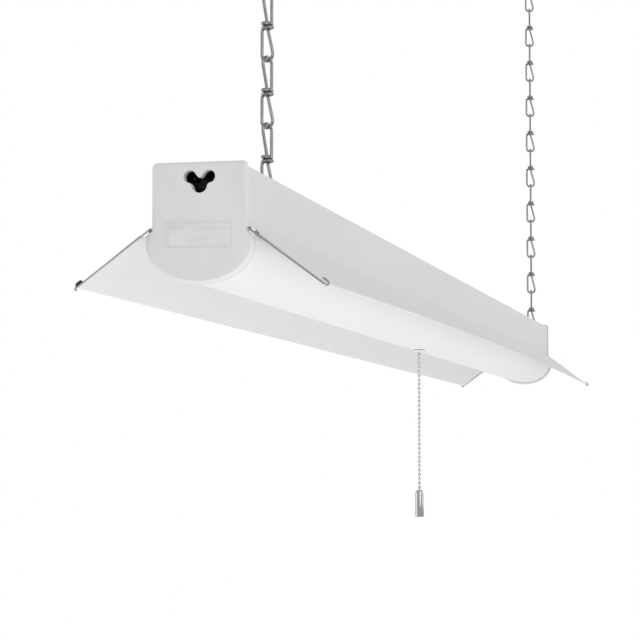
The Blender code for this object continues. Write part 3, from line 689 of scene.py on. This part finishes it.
def end_cap(end, side):
    """Moulded cap: bevelled face, tongue, belly wall, lugs for the brace wires, plain framed panel."""
    face = side * HALF
    shares = [(0.0, 1.0), (0.03, 0.88), (0.12, 0.74), (0.50, 0.37), (0.74, 0.13), (0.88, 0.03),
              (1.0, 0.0)]
    layers = [(deep * CAP_EDGE, cap_outline(inset * CAP_EDGE)) for deep, inset in shares]
    cavity = belly_outline(HOUSING_HALF + GAP, GAP, GAP, tuple(size + GAP for size in LENS))
    layers += [(CAP_TONGUE, cap_outline(0)), (CAP_TONGUE, cavity), (CAP_FACE, cavity)]
    rings = [[(side * (HALF - x), y, z + TOP) for y, z in full(outline)] for x, outline in layers]
    far, behind = CAP_TONGUE + 0.001, CAP_FACE + 0.0002
    steps = [("DIFFERENCE", slab(side, (behind, far), (CAP_TONGUE_HALF, CAP_SEAM), (0.03, 0.003))),
             ("DIFFERENCE", slab(side, (behind, far), (-0.03, CAP_SEAM), (-CAP_TONGUE_HALF, 0.003))),
             ("DIFFERENCE", slab(side, (CAP_SKIRT, far), (-0.03, -0.065), (0.03, CAP_SEAM)))]
    u, v = Vector((0, 1, 0)), Vector((0, 0, 1))
    for across in SIDES.values():
        def rod(radius, *reaches):
            spot = [Vector((face - side * reach, across * HINGE_Y, TOP + HINGE_Z)) for reach in reaches]
            return loft([circle(c, u, v, radius, 32) for c in spot])
        steps.append(("UNION", rod(LUG_RADIUS, ROOT_DEPTH, CURL_END - 0.0008)))
        steps.append(("DIFFERENCE", rod(CURL_INNER, -CUT_ABOVE, CURL_END)))
    around = [(y, z + TOP) for y, z in lobes_outline(COLLAR_WALL)]
    steps.append(("UNION", prism(around, face - side * ROOT_DEPTH, face - side * COLLAR_DEPTH)))
    for inward, grow in ((0.0003, 0.0003), (0.0070, 0.0)):
        around = [(y, z + TOP) for y, z in lobes_outline(grow)]
        steps.append(("DIFFERENCE", prism(around, face + side * CUT_ABOVE, face - side * inward)))
    steps += panel(side)
    screw = middle(f"cap_screw_{end}")
    top = TOP + CAP_TOP
    sink = turned([(0.0033, top + 0.0004), (0.0017, top - 0.0012), (0.0017, TOP - 0.0005)], 40, screw[:2])
    steps.append(("DIFFERENCE", sink))
    piece(f"cap_shell_{end}", carved(loft(rings), *steps), "cap_white", "fixture", f"end_cap_{end}", sharp=30)


def panel(side):
    """Steps that carve a plain frame with a tile and two bars on a cap's face."""
    face, rim = side * HALF, PANEL_RIM
    frame_out = rectangle(-PANEL_HALF, PANEL_HALF, PANEL_LOW, PANEL_HIGH, PANEL_CORNER)
    frame_in = rectangle(-PANEL_HALF + rim, PANEL_HALF - rim, PANEL_LOW + rim, PANEL_HIGH - rim, 0.0013)
    around = [(y, z + TOP) for y, z in soft_outline(frame_in, 5)]
    field = prism(around, face + side * CUT_ABOVE, face + side * PANEL_FLOOR)
    tile = rectangle(-side * TILE[0], -side * TILE[1], PANEL_LOW + TILE_INSET, PANEL_HIGH - TILE_INSET,
                     TILE_CORNER)
    steps = [("UNION", raised(frame_out, side, PANEL_PROUD)), ("DIFFERENCE", field),
             ("UNION", raised(tile, side, TILE_PROUD))]
    for share, reach in BARS:
        level = PANEL_LOW + share * (PANEL_HIGH - PANEL_LOW)
        bar = rectangle(-side * BAR_START, side * reach, level - BAR_HALF, level + BAR_HALF, BAR_CORNER)
        steps.append(("UNION", raised(bar, side, BAR_PROUD)))
    return steps


def cap_screw(end):
    """Countersunk cross-recessed screw."""
    x, y = middle(f"cap_screw_{end}")[:2]
    top = TOP + CAP_TOP - 0.0001
    profile = [(0.0020, top), (0.0023, top - 0.0001), (0.0024, top - 0.0003), (0.0013, top - 0.0013),
               (0.0013, TOP - 0.0058), (0.0006, TOP - 0.0070)]
    cross = []
    for half_x, half_y in ((0.0013, 0.0003), (0.0003, 0.0013)):
        low, high = (x - half_x, y - half_y, top - 0.0008), (x + half_x, y + half_y, top + 0.001)
        cross.append(("DIFFERENCE", box(low, high)))
    mesh = carved(turned(profile, 32, (x, y)), *cross)
    piece(f"cap_fixing_{end}", mesh, "screw_zinc", "fixture", f"cap_screw_{end}")


def connector(name, node, depth):
    """Black block behind the cap, recessed to the same three lobes with a small lead-in."""
    low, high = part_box(node)
    side = 1 if low.x > 0 else -1
    face = high.x if side > 0 else low.x
    outline = [(y, z + TOP) for y, z in lobes_outline(0.0001)]
    wide = [(y, z + TOP) for y, z in lobes_outline(0.0005)]
    front = face + side * CUT_ABOVE
    mesh = carved(bevelled(box(low, high), BLOCK_EDGE),
                  ("DIFFERENCE", prism(outline, front, face - side * depth)),
                  ("DIFFERENCE", prism(wide, front, face - side * 0.0003)))
    piece(name, mesh, "connector_black", "fixture", node)


def inlet_pin(node):
    """Round contact with a domed tip."""
    low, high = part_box(node)
    radius, centre = (high.y - low.y) / 2, (low + high) / 2
    u, v = Vector((0, 1, 0)), Vector((0, 0, 1))
    stations = [(low.x, radius * 0.35)]
    for k in range(1, 6):
        a = math.radians(18 * k)
        stations.append((low.x + radius * (1 - math.cos(a)), radius * (0.35 + 0.65 * math.sin(a))))
    stations.append((high.x, radius))
    mesh = loft([circle(Vector((x, centre.y, centre.z)), u, v, r, 24) for x, r in stations])
    piece(node.replace("inlet_pin", "pin_contact"), mesh, "pin_brass", "fixture", node)


# Wings and braces

def wing_point(side, s, t):
    """(y, z) of a point s outward along the wing and t above its plane, from the hinge line."""
    y = HINGE_Y + s * math.cos(WING_ANGLE) + t * math.sin(WING_ANGLE)
    z = HINGE_Z - s * math.sin(WING_ANGLE) + t * math.cos(WING_ANGLE)
    return side * y, TOP + z


def wing_section():
    """(s, t) outline of the sheet: the rolled hinge edge, and the blade that leaves it at the top."""
    half = WING_SHEET / 2
    level = CURL_INNER + half
    line = arc((0, 0), level, level, 320, 90, 22)
    line += [(WING_WIDTH * share, level) for share in (0.12, 0.3, 0.5, 0.7, 0.88, 0.985)]
    line += [(WING_WIDTH - 0.0003, level), (WING_WIDTH, level)]
    over, under = [], []
    for i, (s, t) in enumerate(line):
        s0, t0 = line[max(i - 1, 0)]
        s1, t1 = line[min(i + 1, len(line) - 1)]
        along = math.hypot(s1 - s0, t1 - t0)
        ds, dt = (s1 - s0) / along, (t1 - t0) / along
        thick = half * (0.55 if i == len(line) - 1 else 1.0)
        over.append((s - thick * dt, t + thick * ds))
        under.append((s + thick * dt, t - thick * ds))
    return over + list(reversed(under))


def wing(name, side, bow, body):
    """Reflector blade, with the shallow waves of thin sheet and its free edge bowed up."""
    end, stations = HALF - BLADE_END, 61
    section = wing_section()
    rings = []
    for i in range(stations):
        x = -end + 2 * end * i / (stations - 1)
        lift = bow * (1 - (x / end) ** 2)
        wave = WAVE * math.sin(17 * x + side) * math.sin(6.3 * x)
        ring = []
        for s, t in section:
            share = max(0.0, s / WING_WIDTH)
            ring.append((x, *wing_point(side, s, t + lift * share ** 2 + wave * share)))
        rings.append(ring)
    reach, step = NOTCH_REACH, BLADE_NOTCH - NOTCH_STEP
    corner = [(-reach, -reach), (step, -reach), (BLADE_NOTCH, -reach), (BLADE_NOTCH, reach),
              (step, reach), (-reach, reach)]
    outline = [wing_point(side, s, t) for s, t in corner]
    notches = []
    for end_side in ENDS.values():
        ends = [end_side * (HALF + CUT_ABOVE), end_side * (HALF - CURL_END)]
        notches.append(("DIFFERENCE", prism(outline, *ends)))
    piece(name, carved(loft(rings), *notches), "wing_white", body, body, sharp=32)


def brace(end, end_side, name, side):
    """Spring wire: hinge pin, arm along the wing's end, and a hook over its free edge."""
    arm, inner, reach = -WIRE_OUT, WIRE_LEG - WIRE_OUT, WING_WIDTH + HOOK_REACH
    steps = [(WIRE_PIN, 0, 0), (arm, 0, 0), (arm, reach, HOOK_LOW), (inner, reach, HOOK_LOW),
             (inner, reach, HOOK_HIGH), (inner, WING_WIDTH - HOOK_BACK, HOOK_HIGH)]
    path = [(end_side * (HALF - x), *wing_point(side, s, t)) for x, s, t in steps]
    piece(f"brace_wire_{name}_{end}", tube(rounded(path, WIRE_BEND), WIRE_RADIUS, 16), "brace_steel",
          f"wing_{name}", f"wing_brace_{name}_{end}", sharp=50)


def sleeve():
    """Moulded rubber tip pushed over the end of one brace's hook."""
    side = SIDES["back"]
    x = -(HALF - WIRE_LEG + WIRE_OUT)
    y0, z0 = wing_point(side, 0, 0)
    y1, z1 = wing_point(side, 0, 1)
    across, up = Vector((1, 0, 0)), Vector((0, y1 - y0, z1 - z0))
    mouth, bore, outside = SLEEVE_MOUTH, WIRE_RADIUS + GAP, SLEEVE_RADIUS
    profile = [(SLEEVE_STOP, bore), (mouth, bore), (mouth, outside - 0.0003),
               (mouth - 0.0001, outside - 0.0001), (mouth - 0.0003, outside),
               (SLEEVE_TIP + SLEEVE_DOME, outside)]
    for k in (1, 2, 3, 4):
        a = math.radians(20 * k)
        profile.append((SLEEVE_TIP + SLEEVE_DOME * (1 - math.sin(a)), outside * math.cos(a)))
    rings = []
    for reach, radius in profile:
        centre = Vector((x, *wing_point(side, WING_WIDTH + reach, HOOK_HIGH)))
        rings.append(circle(centre, across, up, radius, 28))
    piece("sleeve_tip", loft(rings), "sleeve_rubber", "wing_back", "brace_sleeve")


# Chains

def link_mesh():
    """One wire bent into two loops at right angles, each end wrapped round the neck."""
    straight = LOOP_END - LOOP_HALF
    half = [(-0.0002, 0, 0.0014), (-0.0009, 0, 0.0042), (-0.0024, 0, 0.0100),
            (-0.0034, 0, straight - 0.0012)]
    half += [(LOOP_HALF * math.cos(a), 0, straight + LOOP_HALF * math.sin(a))
             for a in (math.radians(180 - 22.5 * k) for k in range(9))]
    half += [(LOOP_HALF, 0, straight * share) for share in (0.72, 0.45, 0.25)]
    half += [(0.0034, 0.0001, 0.0022)]
    half += [(0.0031 * math.cos(a), 0.0020 * math.sin(a), 0.00105)
             for a in (math.radians(22 + 36 * k) for k in range(9))]
    upper = [Vector(p) for p in half]
    lower = [Vector((y, x, -z)) for x, y, z in half]
    path = smooth_path(list(reversed(upper)) + [Vector((0, 0, 0))] + lower, 3)
    return tube(path, CHAIN_WIRE, 12)


def chains():
    mesh = link_mesh()
    for end in ENDS:
        for number in range(1, LINKS + 1):
            node = f"chain_{end}_link_{number:02d}"
            body = "top_links" if number == LINKS else f"chain_{end}"
            spot = Matrix.Translation(middle(node)) @ Matrix.Rotation(CHAIN_TURN[end], 4, "Z")
            piece(f"loop_{end}_{number:02d}", mesh, "chain_zinc", body, node, sharp=60, matrix=spot)


def ceiling_hook(end):
    """Screw hook with a rounded tip, turned to the chain's top link."""
    link = middle(f"chain_{end}_link_{LINKS:02d}")
    top_wire = link.z + LOOP_END
    centre = top_wire - CHAIN_WIRE - HOOK_WIRE - GAP + HOOK_RADIUS
    curl = arc((0, centre), HOOK_RADIUS, HOOK_RADIUS, 60, -210, 40)
    path = [(0, 0, -0.0015), (0, 0, -0.005), (0, 0, centre + 1.8 * HOOK_RADIUS + 0.0006)]
    path = smooth_path(path + [(0, y, z) for y, z in curl[3:]], 3)
    mesh = tube(path, HOOK_WIRE, 20)
    spot = Matrix.Translation((link.x, link.y, 0)) @ Matrix.Rotation(CHAIN_TURN[end], 4, "Z")
    piece(f"screw_hook_{end}", mesh, "hook_zinc", "ceiling", f"ceiling_hook_{end}", sharp=50, matrix=spot)


def ceiling_plate(end):
    """Spun plate with a rolled edge, round the hook's shank."""
    node = f"ceiling_plate_{end}"
    low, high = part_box(node)
    radius, thick, bore, top = (high.x - low.x) / 2, high.z - low.z, HOOK_WIRE + GAP, high.z
    profile = [(bore, top), (radius - 0.0002, top), (radius, top - 0.0002), (radius, top - 0.0006)]
    profile += arc((radius - PLATE_ROLL, top - 0.0008), PLATE_ROLL, thick - 0.0008, 0, -90, 8)[1:]
    profile += [(bore + 0.0016, low.z), (bore + 0.0010, low.z + 0.0003), (bore, low.z + 0.0003)]
    mesh = ring_turned(profile, 64, middle(node)[:2])
    piece(f"spun_plate_{end}", mesh, "plate_zinc", "ceiling", node)


# Pull chain

def beads(name, node, body):
    """Hollow balls on short pins, as one turned surface."""
    low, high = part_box(node)
    top, bottom = high.z, low.z
    count = max(1, round((top - bottom) / BEAD_PITCH))
    pitch = (top - bottom) / count
    edge = math.degrees(math.acos(BEAD_PIN / BEAD_RADIUS))
    profile = []
    for k in range(count):
        level = top - (k + 0.5) * pitch
        if k == 0 and count > 1:
            profile.append((BEAD_PIN, top))
        profile += arc((0, level), BEAD_RADIUS, BEAD_RADIUS, edge, -edge, 10)
    if count > 1:
        profile.append((BEAD_PIN, bottom))
    piece(name, turned(profile, 20), "bead_nickel", body, node, sharp=40)


def pendant():
    """Turned metal weight: coned shoulder, straight barrel, and a hollow lower end."""
    low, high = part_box("pull_pendant")
    radius, top, bottom = (high.x - low.x) / 2, high.z, low.z
    profile = [(0.0011, top - 0.0006), (0.0011, top), (0.0015, top), (0.0019, top - 0.0003),
               (radius * 0.80, top - 0.0009), (radius * 0.97, top - 0.0025), (radius, top - 0.0031)]
    profile += [(radius, bottom + 0.0010), (radius - 0.0002, bottom + 0.0003), (radius - 0.0006, bottom),
                (radius - 0.0009, bottom), (radius - 0.0011, bottom + 0.0003), (0.0019, bottom + 0.0032)]
    piece("pendant_weight", turned(profile, 48), "pendant_chrome", "pull_lower", "pull_pendant", sharp=30)


# What stays as it is in the frame, with a better surface

def carried_over():
    shown = {"gear_tray": "tray_white", "led_driver": "driver_case", "pull_switch": "switch_black",
             "switch_nut": "nut_zinc", "lead_line": "lead_black", "lead_neutral": "lead_white",
             "lead_switched": "lead_black", "hanger_left": "hanger_zinc", "hanger_right": "hanger_zinc",
             "led_board_left": "board_white", "led_board_right": "board_white"}
    for node, slot in shown.items():
        nodes[node].data.materials.clear()
        nodes[node].data.materials.append(finishes[slot])


# Studio

def studio():
    """Pale floor well below the batten, soft light all round, large lamps at three sides and below."""
    floor = bpy.data.meshes.new("floor")
    reach, level = FLOOR_REACH, FLOOR_LEVEL
    floor.from_pydata([(-reach, -reach, level), (reach, -reach, level), (reach, reach, level),
                       (-reach, reach, level)], [], [(0, 1, 2, 3)])
    ground = linked("floor", floor)
    paint = Finish("floor_paint", (0.93, 0.93, 0.93), 0.9)
    paint.tint(paint.noise(0.8, 2.0), (0.915, 0.915, 0.915))
    floor.materials.append(paint.material)
    lamp("lamp_key", (-2.6, -1.7, 0.3), (-0.3, 0, TOP), 2.4, 19)
    lamp("lamp_side", (1.5, -2.8, 0.3), (0.3, 0, TOP), 2.4, 22)
    lamp("lamp_fill", (-0.4, 3.2, -0.5), (0, 0, TOP), 2.6, 22)
    lamp("lamp_low", (-0.7, -0.4, -2.8), (-0.2, 0, TOP), 2.2, 31)
    world = bpy.data.worlds.new("studio")
    world.use_nodes = True
    bpy.context.scene.world = world
    tree = world.node_tree
    light = tree.nodes["Background"]
    light.inputs["Color"].default_value = (1, 1, 1, 1)
    light.inputs["Strength"].default_value = 0.62
    seen = tree.nodes.new("ShaderNodeBackground")
    seen.inputs["Color"].default_value = (1, 1, 1, 1)
    seen.inputs["Strength"].default_value = 1.0
    path = tree.nodes.new("ShaderNodeLightPath")
    mix = tree.nodes.new("ShaderNodeMixShader")
    tree.links.new(path.outputs["Is Camera Ray"], mix.inputs["Fac"])
    tree.links.new(light.outputs["Background"], mix.inputs[1])
    tree.links.new(seen.outputs["Background"], mix.inputs[2])
    tree.links.new(mix.outputs["Shader"], tree.nodes["World Output"].inputs["Surface"])
    bpy.context.scene.view_settings.view_transform = "Standard"


def lamp(name, place, target, size, power):
    data = bpy.data.lights.new(name, "AREA")
    data.size = size
    data.energy = power
    made = linked(name, data)
    made.location = place
    made.rotation_euler = (Vector(target) - Vector(place)).to_track_quat("-Z", "Y").to_euler()


camera()
finishes = make_finishes()
housing()
lens()
grommet()
for end, end_side in ENDS.items():
    end_cap(end, end_side)
    cap_screw(end)
    ceiling_hook(end)
    ceiling_plate(end)
connector("inlet_block", "power_inlet", INLET_DEPTH)
connector("outlet_block", "link_outlet", OUTLET_DEPTH)
for node in ("inlet_pin_front", "inlet_pin_back", "inlet_pin_low"):
    inlet_pin(node)
for name, side in SIDES.items():
    wing(f"reflector_{name}", side, FRONT_BOW if side < 0 else 0.0, f"wing_{name}")
    for end, end_side in ENDS.items():
        brace(end, end_side, name, side)
sleeve()
chains()
beads("beads_upper", "pull_chain_upper", "pull_upper")
beads("beads_neck", "pull_chain_neck", "pull_neck")
beads("beads_lower", "pull_chain_lower", "pull_lower")
pendant()
carried_over()
studio()
